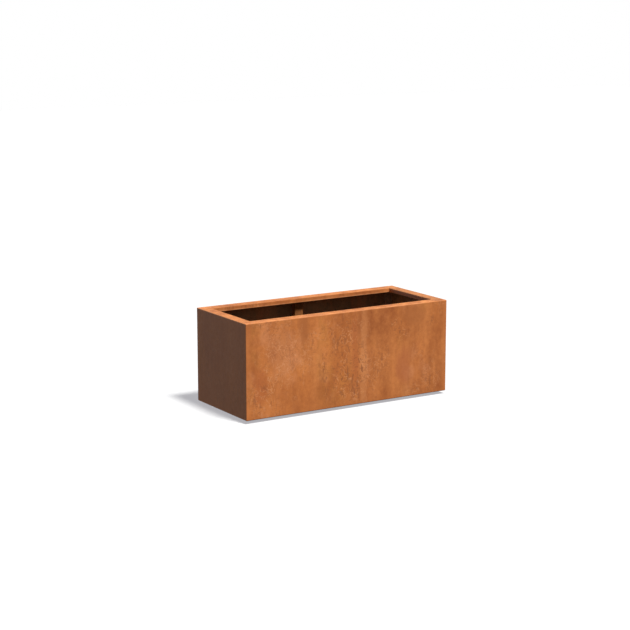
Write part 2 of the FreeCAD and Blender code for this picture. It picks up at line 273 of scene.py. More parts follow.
# Soil side: the tide mark just above the floor, the end panels' returns, and the depth of the silt
TIDE_FIELD = (5.0, 2, 0.5, 1.0, 37.0)
TIDE_WANDER = 0.06
TIDE_BELOW = 0.012
TIDE_ABOVE = 0.010
TIDE_STRENGTH = 0.35
RETURN_EDGE_BAND = (CORNER_RETURN + 0.002, CORNER_RETURN)
RETURN_FACE_BAND = (0.0050, 0.0045)
RETURN_BACK_BAND = (0.0028, 0.0036)
# How much paler the returns' face is painted
RETURN_PALENESS = 0.75
SILT_BAND = (-0.090, -0.004)
SILT_STRENGTH = 0.85

# Textures: noise fields with their depth in metres, the rust's roughness as a grey, and how far that
# follows them
BUCKLING_FIELD = (4.0, 1, 0.5, 0.8, 57.0)
BUCKLING_DEPTH = 0.0020
SCALE_FIELD = (70.0, 3, 0.6, 0.8, 55.0)
SCALE_DEPTH = 0.00035
SCALE_ROUGHENS = 0.20
PIT_MASK = ((210.0, 2, 0.55, 1.0, 53.0), 0.34, 0.46, 0, 1)
PIT_DEPTH = 0.00015
PIT_ROUGHENS = 0.06
GRAIN_FIELD = (700.0, 3, 0.65, 1.0, 51.0)
GRAIN_DEPTH = 0.00022
GRAIN_ROUGHENS = 0.10
RUST_ROUGHNESS = (0.74, 0.74, 0.74)
WELD_BUMPS = (((900.0, 2, 0.6, 1.0, 65.0), 0.0003),)
STEEL_BUMPS = (((1600.0, 2, 0.5, 1.0, 77.0), 0.00008),)
STEEL_BLOOM_DEPTH = 0.0001
MOULDED_BUMPS = (((1500.0, 2, 0.5, 1.0, 85.0), 0.00015),)

# A colour Mix node's sockets by number, because its sockets of other kinds have the same names
MIX_FACTOR = 0
MIX_FIRST = 6
MIX_SECOND = 7
MIX_RESULT = 2

# Weld beads: a fillet's outline between two legs of length 1, sunk a little into both surfaces, its
# ripples, and how it tapers over a number of legs at each end
BEAD_OUTLINE = (
    (-0.12, -0.12), (1.0, -0.12), (0.98, 0.10), (0.84, 0.42),
    (0.62, 0.62), (0.42, 0.84), (0.10, 0.98), (-0.12, 1.0),
)
BEAD_RIPPLE = 0.0022
BEAD_RIPPLE_DEPTH = 0.13
BEAD_CRESCENT = 0.5
BEAD_WAVER = 0.04
BEAD_TAPER = 1.2
BEAD_END = 0.05
RINGS_PER_RIPPLE = 4
FEWEST_RINGS = 8

# Rows of stitches: their count, length and leg
FLOOR_SIDE_STITCHES = (4, 0.045, 0.0045)
FLOOR_END_STITCHES = (3, 0.045, 0.0045)
RIB_STITCHES = (4, 0.040, 0.004)
RETURN_STITCHES = (4, 0.035, 0.0028)
BEARER_STITCHES = (3, 0.040, 0.006)

# Single beads: their legs and where they run
RIB_LEG = 0.004
RIB_FOOT_SPAN = (0.006, 0.024)
RIB_FACE_INSET = 0.006
FLANGE_LEG = 0.004
FLANGE_SPAN = (0.007, 0.028)
PLATE_LEG = 0.0028
PLATE_SPAN = (0.003, 0.022)
NUT_LEG = 0.0025
NUT_REACH = 0.42

# How far the rows of stitches keep from the corner returns, the corners, the mouth and all else
RETURN_CLEARANCE = 0.070
CORNER_CLEARANCE = 0.03
MOUTH_CLEARANCE = 0.05
STITCH_CLEARANCE = 0.02

# Seeds of the beads' waver
FLOOR_SEED = 11
RIB_SEED = 12
RETURN_SEED = 13
BEARER_SEED = 14
FOOT_SEED = 15

# Directions
UP = Vector((0, 0, 1))
DOWN = Vector((0, 0, -1))
LEFT = Vector((-1, 0, 0))
RIGHT = Vector((1, 0, 0))

# Feet
CORNERS = ("front_left", "front_right", "back_left", "back_right")
TURN_SEGMENTS = 48
HEX_SIDES = 6
PIECE_SHARP = 35.0
STUD_SHARP = 25.0

# Threaded stud: the thread, the core and tip, the collar in the pad and the drive hexagon over it
THREAD_PITCH = 0.00175
THREAD_RINGS = 8
THREAD_ROOT = 0.0051
THREAD_DEPTH = 0.00085
THREAD_CREST = 0.12
THREAD_FLANK = 0.74
THREAD_GAP = 0.0004
STUD_CORE = 0.0055
TIP_RADIUS = 0.0046
TIP_CHAMFER = 0.0010
COLLAR_RADIUS = 0.0084
COLLAR_HEIGHT = 0.003
COLLAR_FOOT_CHAMFER = 0.0006
COLLAR_TOP_CHAMFER = 0.0005
DRIVE_GAP = 0.0005
DRIVE_HEIGHT = 0.006
DRIVE_CHAMFER = 0.0007
DRIVE_SHOULDER = 0.0002

# Sole: its round tread grooves, each with a half width at its mouth and at its bottom, and its edge
SOLE_MIDDLE = 0.0030
GROOVES = (0.0070, 0.0130, 0.0190)
GROOVE_DEPTH = 0.0010
GROOVE_MOUTH = 0.0012
GROOVE_BOTTOM = 0.0008
SOLE_ROUND = 0.0009
SOLE_ROUND_MIDDLE = 0.0003

# Pad ribs: their number, their half width, their edges, and their reach, bottom and top at each station
PAD_RIBS = 12
PAD_RIB_HALF = 0.0009
PAD_RIB_BEVEL = 0.0005
PAD_RIB_CREST = 0.5
PAD_RIB_STATIONS = (
    (0.0120, 0.0093, 0.0113), (0.0150, 0.0088, 0.0109), (0.0190, 0.0068, 0.0094),
    (0.0225, 0.0052, 0.0074), (0.0240, 0.0045, 0.0058),
)


# Studio

def make_camera():
    """Stand the camera at the product view and look through it."""
    data = bpy.data.cameras.new("camera")
    data.lens = CAMERA_LENS
    camera = bpy.data.objects.new("camera", data)
    camera.location = CAMERA_PLACE
    camera.rotation_euler = (math.radians(90 - CAMERA_PITCH), 0, math.radians(CAMERA_YAW))
    bpy.context.scene.collection.objects.link(camera)
    bpy.context.scene.camera = camera


def make_world():
    """Light the scene from all round, white where it is seen and weaker where it only lights."""
    world = bpy.data.worlds.new("surround")
    world.use_nodes = True
    bpy.context.scene.world = world
    tree = world.node_tree
    background = tree.nodes["Background"]
    background.inputs["Color"].default_value = (1, 1, 1, 1)
    rays = tree.nodes.new("ShaderNodeLightPath")
    unseen = tree.nodes.new("ShaderNodeMix")
    unseen.inputs["A"].default_value = SURROUND_FILL
    unseen.inputs["B"].default_value = SURROUND_GLOSS
    tree.links.new(rays.outputs["Is Glossy Ray"], unseen.inputs["Factor"])
    strength = tree.nodes.new("ShaderNodeMix")
    strength.inputs["B"].default_value = SURROUND_SEEN
    tree.links.new(rays.outputs["Is Camera Ray"], strength.inputs["Factor"])
    tree.links.new(unseen.outputs["Result"], strength.inputs["A"])
    tree.links.new(strength.outputs["Result"], background.inputs["Strength"])


def make_light(name, towards, strength, angle):
    """Hang a distant light that shines from the chosen direction."""
    data = bpy.data.lights.new(name, "SUN")
    data.energy = strength
    data.angle = math.radians(angle)
    light = bpy.data.objects.new(name, data)
    light.rotation_euler = Vector(towards).to_track_quat("Z", "Y").to_euler()
    bpy.context.scene.collection.objects.link(light)
    return light


def make_lights():
    """Hang the key, and the glaze that shows only as sheen."""
    make_light("key", KEY_TOWARDS, KEY_STRENGTH, KEY_ANGLE)
    glaze = make_light("glaze", GLAZE_TOWARDS, GLAZE_STRENGTH, GLAZE_ANGLE)
    glaze.visible_diffuse = False


def make_floor():
    """Lay a plain pale floor that takes soft grey shadows."""
    half = FLOOR_SIZE / 2
    mesh = bpy.data.meshes.new("studio_floor")
    corners = [(-half, -half, 0), (half, -half, 0), (half, half, 0), (-half, half, 0)]
    mesh.from_pydata(corners, [], [(0, 1, 2, 3)])
    floor = bpy.data.objects.new("studio_floor", mesh)
    bpy.context.scene.collection.objects.link(floor)
    material = bpy.data.materials.new("studio_floor")
    material.use_nodes = True
    surface = material.node_tree.nodes["Principled BSDF"]
    surface.inputs["Base Color"].default_value = (*FLOOR_COLOUR, 1)
    surface.inputs["Roughness"].default_value = 1.0
    surface.inputs["Specular IOR Level"].default_value = 0.0
    surface.inputs["Emission Color"].default_value = (*FLOOR_GLOW, 1)
    surface.inputs["Emission Strength"].default_value = 1.0
    mesh.materials.append(material)
    floor.visible_diffuse = False
    floor.visible_glossy = False


# Materials

class Recipe:
    """Adds nodes to one material and wires them, so that each material reads as a recipe."""

    def __init__(self, name):
        self.material = bpy.data.materials.new(name)
        self.material.use_nodes = True
        self.tree = self.material.node_tree
        self.surface = self.tree.nodes["Principled BSDF"]
        self.place = self.tree.nodes.new("ShaderNodeTexCoord").outputs["Object"]
        apart = self.tree.nodes.new("ShaderNodeSeparateXYZ")
        self.put(apart.inputs["Vector"], self.place)
        self.x, self.y, self.z = apart.outputs
        self.side_x = self.math("ABSOLUTE", self.x)
        self.side_y = self.math("ABSOLUTE", self.y)

    def put(self, socket, value):
        """Wire a socket to another node's output, or set its value."""
        if isinstance(value, bpy.types.NodeSocket):
            self.tree.links.new(value, socket)
        elif socket.type == "RGBA":
            socket.default_value = (*value, 1)
        else:
            socket.default_value = value

    def give(self, name, value):
        """Give the surface a value for one of its sockets."""
        self.put(self.surface.inputs[name], value)

    def math(self, kind, *values):
        """Work out a Math node of this kind."""
        node = self.tree.nodes.new("ShaderNodeMath")
        node.operation = kind
        for socket, value in zip(node.inputs, values):
            self.put(socket, value)
        return node.outputs["Value"]

    def product(self, *values):
        """Multiply several values together."""
        result = values[0]
        for value in values[1:]:
            result = self.math("MULTIPLY", result, value)
        return result

    def greatest(self, *values):
        """Take the greatest of several values."""
        result = values[0]
        for value in values[1:]:
            result = self.math("MAXIMUM", result, value)
        return result

    def noise(self, scale, detail=2.0, roughness=0.5, upright=1.0, shift=0.0, distortion=0.0):
        """Give noise about 0.5, with this many features to the metre, drawn out upright below 1."""
        mapping = self.tree.nodes.new("ShaderNodeMapping")
        self.put(mapping.inputs["Vector"], self.place)
        mapping.inputs["Scale"].default_value = (1, 1, upright)
        mapping.inputs["Location"].default_value = (shift, 2 * shift, 3 * shift)
        node = self.tree.nodes.new("ShaderNodeTexNoise")
        self.put(node.inputs["Vector"], mapping.outputs["Vector"])
        node.inputs["Scale"].default_value = scale
        node.inputs["Detail"].default_value = detail
        node.inputs["Roughness"].default_value = roughness
        node.inputs["Distortion"].default_value = distortion
        return node.outputs["Fac"]

    def noises(self, rows):
        """Turn rows of a noise field and a measure into rows of a noise and that measure."""
        return [(self.noise(*field), measure) for field, measure in rows]

    def ramp(self, value, low, high, start=0.0, end=1.0):
        """Carry a value that runs from low to high smoothly over to start and end."""
        node = self.tree.nodes.new("ShaderNodeMapRange")
        node.interpolation_type = "SMOOTHSTEP"
        self.put(node.inputs["Value"], value)
        node.inputs["From Min"].default_value = low
        node.inputs["From Max"].default_value = high
        node.inputs["To Min"].default_value = start
        node.inputs["To Max"].default_value = end
        return node.outputs["Result"]

    def mask(self, field, low, high, least, most):
        """Mark the places where a noise field is strong."""
        return self.ramp(self.noise(*field), low, high, least, most)

    def beside(self, position, edge, band, most=1.0):
        """Mark a band beside an edge, by how far in from it the band starts and where it is full."""
        start, full = band
        return self.ramp(position, edge - start, edge - full, 0, most)

    def blend(self, amount, first, second):
        """Mix two colours, from the first to the second."""
        node = self.tree.nodes.new("ShaderNodeMix")
        node.data_type = "RGBA"
        self.put(node.inputs[MIX_FACTOR], amount)
        self.put(node.inputs[MIX_FIRST], first)
        self.put(node.inputs[MIX_SECOND], second)
        return node.outputs[MIX_RESULT]

    def toned(self, colour, tones, tint=(1.0, 1.0, 1.0)):
        """Lighten and darken a colour by noises, each with its own strength, by channel."""
        total = 0.0
        for noise, strength in tones:
            off_middle = self.math("SUBTRACT", noise, NOISE_MIDDLE)
            total = self.math("MULTIPLY_ADD", off_middle, 2 * strength, total)
        change = self.tree.nodes.new("ShaderNodeVectorMath")
        change.operation = "MULTIPLY"
        self.put(change.inputs[0], colour)
        change.inputs[1].default_value = tint
        node = self.tree.nodes.new("ShaderNodeVectorMath")
        node.operation = "MULTIPLY_ADD"
        self.put(node.inputs[0], change.outputs["Vector"])
        self.put(node.inputs[1], total)
        self.put(node.inputs[2], colour)
        return node.outputs["Vector"]

    def bump(self, layers):
        """Raise the surface by several heights, each with its own depth in metres."""
        normal = None
        for height, depth in layers:
            node = self.tree.nodes.new("ShaderNodeBump")
            self.put(node.inputs["Height"], height)
            node.inputs["Distance"].default_value = depth
            if normal is not None:
                self.put(node.inputs["Normal"], normal)
            normal = node.outputs["Normal"]
        self.give("Normal", normal)

    def tracks(self, scale, width, shift, share):
        """Give short broken worm tracks, where a noise crosses its middle."""
        field = self.noise(scale, TRACK_DETAIL, upright=TRACK_STRETCH, shift=shift, distortion=TRACK_CURL)
        line = self.math("ABSOLUTE", self.math("SUBTRACT", field, NOISE_MIDDLE))
        break_scale = BREAK_SCALE * scale
        breaks = self.noise(break_scale, TRACK_DETAIL, upright=BREAK_STRETCH, shift=shift + BREAK_SHIFT)
        broken = self.ramp(breaks, 1 - share, 1 - share + BREAK_EDGE)
        return self.product(self.ramp(line, width, TRACK_CORE * width), broken)


def rust_colour(r):
    """Give the weather side's colour: blotches and rain streaks, marks, the left end painted evener and
    darker as shade, and the rim.
    """
    colour = RUST_BROWN
    for mask, tint in RUST_BLOTCHES:
        colour = r.blend(r.mask(*mask), colour, tint)
    colour = r.toned(colour, r.noises(RUST_TONES), RUST_TINT)
    for x, z, half_width, half_height, tint, strength in STAINS:
        stain = front_patch(r, x, z, half_width, half_height)
        colour = r.blend(r.product(stain, strength), colour, tint)
    colour = marked_colour(r, colour)
    # Painted shade: the left end, which the key leaves in shade, is painted evener and darker
    shaded_left_end = r.beside(r.x, -HALF_LENGTH, LEFT_END_BAND, END_SHADE_STRENGTH)
    colour = r.blend(shaded_left_end, colour, RUST_SHADED_END)
    # The rim's top takes the rim colour, painted darker as shade
    return r.blend(r.beside(r.z, HEIGHT, RIM_BAND), colour, rim_colour(r))


def marked_colour(r, colour):
    """Scatter worm tracks and short dashes over a colour, in clusters."""
    speckled = [front_patch(r, *spot) for spot in SPECKLED]
    cluster = r.greatest(r.mask(*CLUSTER_MASK), *speckled)
    pale_cluster = r.greatest(cluster, front_patch(r, *PALE_SPECKLED))
    pale = r.product(r.tracks(*PALE_TRACKS), pale_cluster, PALE_TRACK_STRENGTH)
    colour = r.blend(pale, colour, RUST_PALE)
    marked = r.greatest(
        r.product(cluster, DARK_TRACKS_IN_CLUSTERS),
        r.product(pale_cluster, DARK_TRACKS_IN_PALE),
    )
    colour = r.blend(r.product(r.tracks(*DARK_TRACKS), marked), colour, RUST_DARK)
    for mask, strength in ((DASH_MASK, DASH_STRENGTH), (LEVEL_MASK, LEVEL_STRENGTH)):
        colour = r.blend(r.product(r.mask(*mask), cluster, strength), colour, RUST_DARK)
    return colour


def rim_colour(r):
    """Give the rim's colour, painted darker than the walls as shade against the key's stronger light on
    the top: clouded and flecked, and duller at the right end.
    """
    dull = r.beside(r.x, HALF_LENGTH, RIM_DULL_BAND)
    clouded = r.toned(r.blend(dull, RIM_SHADED_BASE, RIM_DULL), r.noises(RIM_TONES), RUST_TINT)
    return r.blend(r.mask(*FLECK_MASK), clouded, RUST_BROWN)


def front_patch(r, x, z, half_width, half_height):
    """Mark a soft-edged patch of the front face, with a wandering outline."""
    across = r.math("DIVIDE", r.math("SUBTRACT", r.x, x), half_width)
    up = r.math("DIVIDE", r.math("SUBTRACT", r.z, z), half_height)
    wander = r.math("MULTIPLY_ADD", r.noise(*PATCH_FIELD), PATCH_WANDER, -PATCH_WANDER / 2)
    apart = r.math("MULTIPLY_ADD", across, across, r.math("MULTIPLY_ADD", up, up, wander))
    return r.product(r.ramp(apart, *PATCH_FADE), r.ramp(r.y, 0.0, -HALF_WIDTH))


def edge_colour(r, colour):
    """Paint highlights, patchy with wear, along the upright corners, the rim's outer bends and the lips'
    lower edges, and dull the rust near the ground.
    """
    # Painted highlights, patchy with wear: the upright corners, the rim's outer bends and the lips' lower
    # edges
    corner = r.product(
        r.beside(r.side_x, HALF_LENGTH, CORNER_BAND),
        r.beside(r.side_y, HALF_WIDTH, CORNER_BAND),
    )
    colour = r.blend(r.product(corner, r.mask(*UNEVEN_MASK), CORNER_WEAR_AND_HIGHLIGHT), colour, RUST_ORANGE)
    outer = r.greatest(
        r.beside(r.side_x, HALF_LENGTH, OUTER_BAND),
        r.beside(r.side_y, HALF_WIDTH, OUTER_BAND),
    )
    bend = r.product(outer, r.beside(r.z, HEIGHT, BEND_BAND))
    highlight_wear = r.mask(*HIGHLIGHT_WEAR_MASK)
    colour = r.blend(r.product(bend, highlight_wear, BEND_WEAR_AND_HIGHLIGHT), colour, RUST_PALE)
    lip_edge = r.product(lip_face(r), r.beside(r.z, LIP_BOTTOM, LIP_EDGE_BAND))
    colour = r.blend(r.product(lip_edge, highlight_wear, LIP_WEAR_AND_HIGHLIGHT), colour, RUST_PALE)
    # Darker towards the bottom
    bottom_darkening = r.product(r.beside(r.z, BASE, BOTTOM_DARKENING_BAND), r.mask(*BOTTOM_DARKENING_MASK))
    return r.blend(bottom_darkening, colour, RUST_BROWN)


def lip_face(r):
    """Mark the side of the lips that faces the mouth."""
    return r.product(
        r.beside(r.side_x, MOUTH_HALF_LENGTH, LIP_FACE_BAND),
        r.beside(r.side_y, MOUTH_HALF_WIDTH, LIP_FACE_BAND),
        r.beside(r.z, LIP_BOTTOM, LIP_FOOT_BAND),
    )


def weather_side(r):
    """Mark the sheet's side that the weather reaches, against the side that faces the soil."""
    return r.greatest(
        r.beside(r.side_x, HALF_LENGTH, WEATHER_BAND),
        r.beside(r.side_y, HALF_WIDTH, WEATHER_BAND),
        r.beside(r.z, HEIGHT, WEATHER_BAND),
        r.beside(r.z, BASE, BASE_BAND),
        lip_face(r),
    )


def mitre_seams(r):
    """Mark the thin seams across the rim's mitred corners."""
    from_end = r.math("SUBTRACT", HALF_LENGTH, r.side_x)
    from_side = r.math("SUBTRACT", HALF_WIDTH, r.side_y)
    off_seam = r.math("ABSOLUTE", r.math("SUBTRACT", from_end, from_side))
    return r.product(
        r.ramp(off_seam, *MITRE_SEAM),
        r.beside(r.z, HEIGHT, MITRE_TOP_BAND),
        r.beside(r.side_x, MOUTH_HALF_LENGTH, MITRE_END_BAND),
        r.mask(*MITRE_MASK),
    )


def inner_colour(r, base, dark, warm, pale):
    """Give the soil side's colour: blotches, runs, a tide mark, bloom and paler corner returns."""
    colour = r.blend(r.mask(*SOIL_MASK), dark, base)
    colour = r.blend(r.mask(*WARM_MASK), colour, warm)
    colour = r.blend(r.mask(*RUN_MASK), colour, dark)
    tide_height = r.math("MULTIPLY_ADD", r.noise(*TIDE_FIELD), TIDE_WANDER, FLOOR_TOP)
    height = r.math("SUBTRACT", r.z, tide_height)
    tide = r.product(r.ramp(height, -TIDE_BELOW, 0.0), r.ramp(height, TIDE_ABOVE, 0.0), TIDE_STRENGTH)
    colour = r.blend(tide, colour, pale)
    colour = r.blend(r.mask(*BLOOM_MASK), colour, pale)
    # The corner returns are painted paler
    corner_return = r.product(
        r.beside(r.side_x, HALF_LENGTH, RETURN_EDGE_BAND),
        r.beside(r.side_y, HALF_WIDTH, RETURN_FACE_BAND),
        r.beside(r.side_y, HALF_WIDTH, RETURN_BACK_BAND),
        RETURN_PALENESS,
    )
    colour = r.blend(corner_return, colour, pale)
    return r.toned(colour, r.noises(INNER_TONES))


def rust_texture(r):
    """Rough the rust up: buckled sheet, scale, pits and a sandy grain."""
    grain = r.noise(*GRAIN_FIELD)
    pits = r.mask(*PIT_MASK)
    scale = r.noise(*SCALE_FIELD)
    buckling = r.noise(*BUCKLING_FIELD)
    r.bump(((buckling, BUCKLING_DEPTH), (scale, SCALE_DEPTH), (pits, PIT_DEPTH), (grain, GRAIN_DEPTH)))
    followed = ((scale, SCALE_ROUGHENS), (pits, PIT_ROUGHENS), (grain, GRAIN_ROUGHENS))
    r.give("Roughness", r.toned(RUST_ROUGHNESS, followed))


def weathered_panel():
    """Rusted sheet: fresh orange on the weather side and dark brown on the soil side."""
    r = Recipe("weathered_panel")
    outer = edge_colour(r, rust_colour(r))
    outer = r.blend(mitre_seams(r), outer, RUST_DARK)
    inner = inner_colour(r, INNER_BASE, INNER_DARK, INNER_WARM, INNER_PALE)
    r.give("Base Color", r.blend(weather_side(r), inner, outer))
    rust_texture(r)
    return r.material


def weathered_inner():
    """Rusted floor and framing, redder than the panels' soil side, with silt lying on the floor."""
    r = Recipe("weathered_inner")
    colour = inner_colour(r, FRAME_BASE, FRAME_DARK, FRAME_WARM, FRAME_PALE)
    dirt = r.toned(r.blend(r.mask(*BARE_MASK), SILT, FRAME_DARK), r.noises(DIRT_TONES))
    colour = r.blend(r.beside(r.z, FLOOR_TOP, SILT_BAND, SILT_STRENGTH), colour, dirt)
    r.give("Base Color", colour)
    r.give("Specular IOR Level", FRAME_SHEEN)
    rust_texture(r)
    return r.material


def rusted_weld():
    """Weld metal: a darker, smoother skin with heat tint, rusting on its ripples."""
    r = Recipe("rusted_weld")
    rusting = r.mask(*WELD_RUST_MASK)
    colour = r.blend(rusting, WELD_SKIN, WELD_RUST)
    r.give("Base Color", r.toned(colour, r.noises(WELD_TONES)))
    r.give("Metallic", WELD_METALLIC)
    r.give("Roughness", r.ramp(rusting, 0, 1, *WELD_ROUGHNESS))
    r.bump(r.noises(WELD_BUMPS))
    return r.material


def bright_steel(name, colour, roughness, blush):
    """Machined steel with fine mottle, and rust or plating bloom coming through in spots."""
    r = Recipe(name)
    bloom = r.mask(*STEEL_BLOOM_MASK)
    r.give("Base Color", r.blend(bloom, r.toned(colour, r.noises(STEEL_TONES)), blush))
    r.give("Metallic", r.ramp(bloom, 0, 1, 1.0, BLOOM_METALLIC))
    r.give("Roughness", r.math("MULTIPLY_ADD", bloom, BLOOM_ROUGHENS, roughness))
    r.bump([*r.noises(STEEL_BUMPS), (bloom, STEEL_BLOOM_DEPTH)])
    return r.material


def moulded(name, colour, dust, roughness):
    """Moulded plastic or rubber with a fine spark-eroded texture and patches of dust."""
    r = Recipe(name)
    dusty = r.mask(*DUST_MASK)
    r.give("Base Color", r.blend(dusty, r.toned(colour, r.noises(MOULDED_TONES)), dust))
    r.give("Roughness", r.math("MULTIPLY_ADD", dusty, DUST_ROUGHENS, roughness))
    r.bump(r.noises(MOULDED_BUMPS))
    return r.material


# Detail pieces

def add_shell(shells, rings):
    """Skin a list of rings of points into one closed shell, capped at both ends."""
    points, faces = shells
    first = len(points)
    size = len(rings[0])
    for ring in rings:
        points.extend(ring)
    last = first + (len(rings) - 1) * size
    for low in range(first, last, size):
        high = low + size
        for step in range(size):
            after = (step + 1) % size
            faces.append((low + step, low + after, high + after, high + step))
    faces.append(tuple(first + step for step in reversed(range(size))))
    faces.append(tuple(last + step for step in range(size)))


def make_piece(name, shells, material, body, sharp=PIECE_SHARP):
    """Turn shells into one smooth-shaded piece that rides on a body."""
    points, faces = shells
    mesh = bpy.data.meshes.new(name)
    mesh.from_pydata(points, [], faces)
    work = bmesh.new()
    work.from_mesh(mesh)
    bmesh.ops.recalc_face_normals(work, faces=work.faces)
    work.to_mesh(mesh)
    work.free()
    mesh.shade_smooth()
    mesh.set_sharp_from_angle(angle=math.radians(sharp))
    mesh.materials.append(material)
    piece = bpy.data.objects.new(name, mesh)
    bpy.context.scene.collection.objects.link(piece)
    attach(piece, body)
    return piece


# Welds

def add_bead(shells, start, end, first_leg, second_leg, size, chance):
    """Add a rippled weld bead from start to end, in the corner between two legs."""
    along = end - start
    length = along.length
    along.normalize()
    count = max(FEWEST_RINGS, round(length / BEAD_RIPPLE * RINGS_PER_RIPPLE))
    rings = []
    for row in range(count + 1):
        travel = length * row / count
        from_end = min(travel, length - travel) / (BEAD_TAPER * size)
        taper = math.sqrt(min(1.0, BEAD_END + from_end))
        ripple = 1.0 - BEAD_RIPPLE_DEPTH * (row % RINGS_PER_RIPPLE) / RINGS_PER_RIPPLE
        reach = size * taper * ripple * chance.uniform(1 - BEAD_WAVER, 1 + BEAD_WAVER)
        centre = start + along * travel
        ring = []
        for a, b in BEAD_OUTLINE:
            crescent = along * (BEAD_CRESCENT * size * taper * min(max(a, 0), max(b, 0)))
            ring.append(centre + first_leg * (a * reach) + second_leg * (b * reach) + crescent)
        rings.append(ring)
    add_shell(shells, rings)


def add_stitches(shells, start, end, stitches, first_leg, second_leg, chance):
    """Add a row of equal beads, spread evenly from start to end, in the corner between two legs."""
    count, length, size = stitches
    along = (end - start).normalized()
    for step in range(count):
        middle = start.lerp(end, (step + 0.5) / count)
        reach = along * length / 2
        add_bead(shells, middle - reach, middle + reach, first_leg, second_leg, size, chance)


def make_floor_welds(weld):
    """Stitch the floor sheet to all four walls."""
    shells = ([], [])
    chance = random.Random(FLOOR_SEED)
    wall_y = HALF_WIDTH - SHEET
    wall_x = HALF_LENGTH - SHEET
    rib_low, rib_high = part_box("front_rib")
    spans = (
        (-HALF_LENGTH + RETURN_CLEARANCE, rib_low.x - STITCH_CLEARANCE),
        (rib_high.x + STITCH_CLEARANCE, HALF_LENGTH - RETURN_CLEARANCE),
    )
    for side in (-1, 1):
        for span_start, span_end in spans:
            start = Vector((span_start, side * wall_y, FLOOR_TOP))
            end = Vector((span_end, side * wall_y, FLOOR_TOP))
            add_stitches(shells, start, end, FLOOR_SIDE_STITCHES, Vector((0, -side, 0)), UP, chance)
        start = Vector((side * wall_x, -HALF_WIDTH + CORNER_CLEARANCE, FLOOR_TOP))
        end = Vector((side * wall_x, HALF_WIDTH - CORNER_CLEARANCE, FLOOR_TOP))
        add_stitches(shells, start, end, FLOOR_END_STITCHES, Vector((-side, 0, 0)), UP, chance)
    make_piece("floor_welds", shells, weld, "planter")


def make_rib_welds(weld):
    """Stitch both ribs to the wall behind them and to the floor."""
    shells = ([], [])
    chance = random.Random(RIB_SEED)
    foot_start, foot_end = RIB_FOOT_SPAN
    for node, side in (("front_rib", -1), ("back_rib", 1)):
        low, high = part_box(node)
        wall = side * (HALF_WIDTH - SHEET)
        inwards = Vector((0, -side, 0))
        for x, outwards in ((low.x, LEFT), (high.x, RIGHT)):
            start = Vector((x, wall, low.z + STITCH_CLEARANCE))
            end = Vector((x, wall, high.z - STITCH_CLEARANCE))
            add_stitches(shells, start, end, RIB_STITCHES, outwards, inwards, chance)
            a = Vector((x, wall - side * foot_start, low.z))
            b = Vector((x, wall - side * foot_end, low.z))
            add_bead(shells, a, b, outwards, UP, RIB_LEG, chance)
        face = low.y if side > 0 else high.y
        a = Vector((low.x + RIB_FACE_INSET, face, low.z))
        b = Vector((high.x - RIB_FACE_INSET, face, low.z))
        add_bead(shells, a, b, inwards, UP, RIB_LEG, chance)
    make_piece("rib_welds", shells, weld, "planter")


def make_return_welds(weld):
    """Stitch the end panels' upright returns to the inside of the long walls."""
    shells = ([], [])
    chance = random.Random(RETURN_SEED)
    for x_side in (-1, 1):
        x = x_side * (HALF_LENGTH - CORNER_RETURN)
        outwards = Vector((-x_side, 0, 0))
        for y_side in (-1, 1):
            y = y_side * (HALF_WIDTH - SHEET)
            start = Vector((x, y, FLOOR_TOP + STITCH_CLEARANCE))
            end = Vector((x, y, HEIGHT - MOUTH_CLEARANCE))
            inwards = Vector((0, -y_side, 0))
            add_stitches(shells, start, end, RETURN_STITCHES, outwards, inwards, chance)
    make_piece("return_welds", shells, weld, "planter")


def make_bearer_welds(weld):
    """Stitch the bearers to the underside of the floor and to the bottom flanges."""
    shells = ([], [])
    chance = random.Random(BEARER_SEED)
    flange_start, flange_end = FLANGE_SPAN
    for node in ("left_bearer", "middle_bearer", "right_bearer"):
        low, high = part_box(node)
        for x, outwards in ((low.x, LEFT), (high.x, RIGHT)):
            start = Vector((x, low.y + CORNER_CLEARANCE, high.z))
            end = Vector((x, high.y - CORNER_CLEARANCE, high.z))
            add_stitches(shells, start, end, BEARER_STITCHES, outwards, DOWN, chance)
            for side in (-1, 1):
                a = Vector((x, side * (HALF_WIDTH - flange_start), low.z))
                b = Vector((x, side * (HALF_WIDTH - flange_end), low.z))
                add_bead(shells, a, b, outwards, UP, FLANGE_LEG, chance)
    make_piece("bearer_welds", shells, weld, "planter")


def add_plate_welds(shells, corner, chance):
    """Weld a foot plate to its bearer's legs."""
    low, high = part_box(corner + "_foot_plate")
    near, far = PLATE_SPAN
    for x, inwards in ((low.x, RIGHT), (high.x, LEFT)):
        for y_start, y_end in ((low.y + near, low.y + far), (high.y - far, high.y - near)):
            a = Vector((x, y_start, low.z))
            b = Vector((x, y_end, low.z))
            add_bead(shells, a, b, inwards, DOWN, PLATE_LEG, chance)


def add_nut_welds(shells, corner, chance):
    """Weld a nut's six sides to the top of its foot plate."""
    nut_low, nut_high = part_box(corner + "_weld_nut")
    centre = (nut_low + nut_high) / 2
    inset = (nut_high.x - nut_low.x) / 2
    side_length = 2 * inset * math.tan(math.pi / HEX_SIDES)
    for step in range(HEX_SIDES):
        angle = 2 * math.pi * step / HEX_SIDES
        outwards = Vector((math.cos(angle), math.sin(angle), 0))
        tangent = Vector((-outwards.y, outwards.x, 0))
        middle = Vector((centre.x, centre.y, nut_low.z)) + outwards * inset
        a = middle - tangent * side_length * NUT_REACH
        b = middle + tangent * side_length * NUT_REACH
        add_bead(shells, a, b, outwards, UP, NUT_LEG, chance)


def make_foot_welds(weld):
    """Weld each foot plate between its bearer's legs, and its nut on top of the plate."""
    chance = random.Random(FOOT_SEED)
    for corner in CORNERS:
        shells = ([], [])
        add_plate_welds(shells, corner, chance)
        add_nut_welds(shells, corner, chance)
        make_piece(corner + "_foot_welds", shells, weld, "planter")


# Feet

